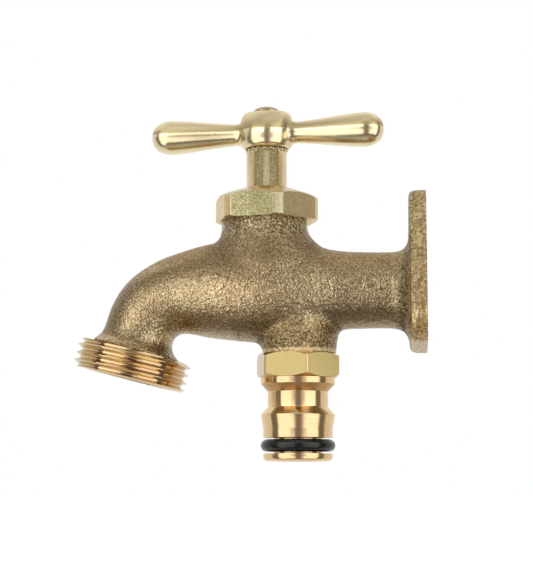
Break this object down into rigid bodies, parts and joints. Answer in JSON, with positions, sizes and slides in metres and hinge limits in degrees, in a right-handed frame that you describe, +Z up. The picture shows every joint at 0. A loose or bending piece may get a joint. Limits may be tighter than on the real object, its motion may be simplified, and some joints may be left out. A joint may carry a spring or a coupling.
{
  "type": "hose bib",
  "caption": "Wall-flange garden tap in cast brass: T-handle screw valve, threaded down-spout and a push-fit hose inlet below the body.",
  "frame": {"origin": "centre of the mounting arm on the flange's flat back face, which sits against the wall", "axes": "+X points into the wall, so the spout points to -X; +Z is up along the spindle; +Y completes a right-handed frame"},
  "size_m": [0.0811, 0.0427, 0.0821],
  "materials": {
    "cast_brass": "sand-cast, tumbled, fine grain",
    "nut_brass": "blasted flats, machined rims",
    "turned_brass": "turned, semi-bright",
    "handle_brass": "satin polished",
    "spindle_brass": "turned, fine blasted",
    "screw_brass": "dull",
    "seal_rubber": "smooth moulded",
    "packing_fibre": "matte graphited",
    "gasket_fibre": "matte fibre"
  },
  "bodies": {
    "tap_body": {"body": "cast_brass", "packing_nut": "nut_brass", "gland_follower": "turned_brass", "packing_ring": "packing_fibre", "packing_washer": "turned_brass", "hose_connector": "turned_brass", "connector_o_ring": "seal_rubber", "connector_gasket": "gasket_fibre"},
    "valve": {"jumper": "turned_brass", "jumper_retaining_ring": "screw_brass", "seat_washer": "seal_rubber", "washer_nut": "turned_brass"},
    "spindle": {"spindle": "spindle_brass", "handle": "handle_brass", "handle_screw": "screw_brass"}
  },
  "joints": [
    {"name": "valve_lift", "type": "slide", "parent": "tap_body", "child": "valve", "axis": [0, 0, 1], "range_m": [0, 0.00401]},
    {"name": "spindle_turn", "type": "hinge", "parent": "valve", "child": "spindle", "pos_m": [-0.0367, 0, 0.0042], "axis": [0, 0, 1], "range_deg": [0, 720]}
  ],
  "couplings": [
    {"joint": "valve_lift", "follows": "spindle_turn", "m_per_rad": 0.00031831}
  ]
}
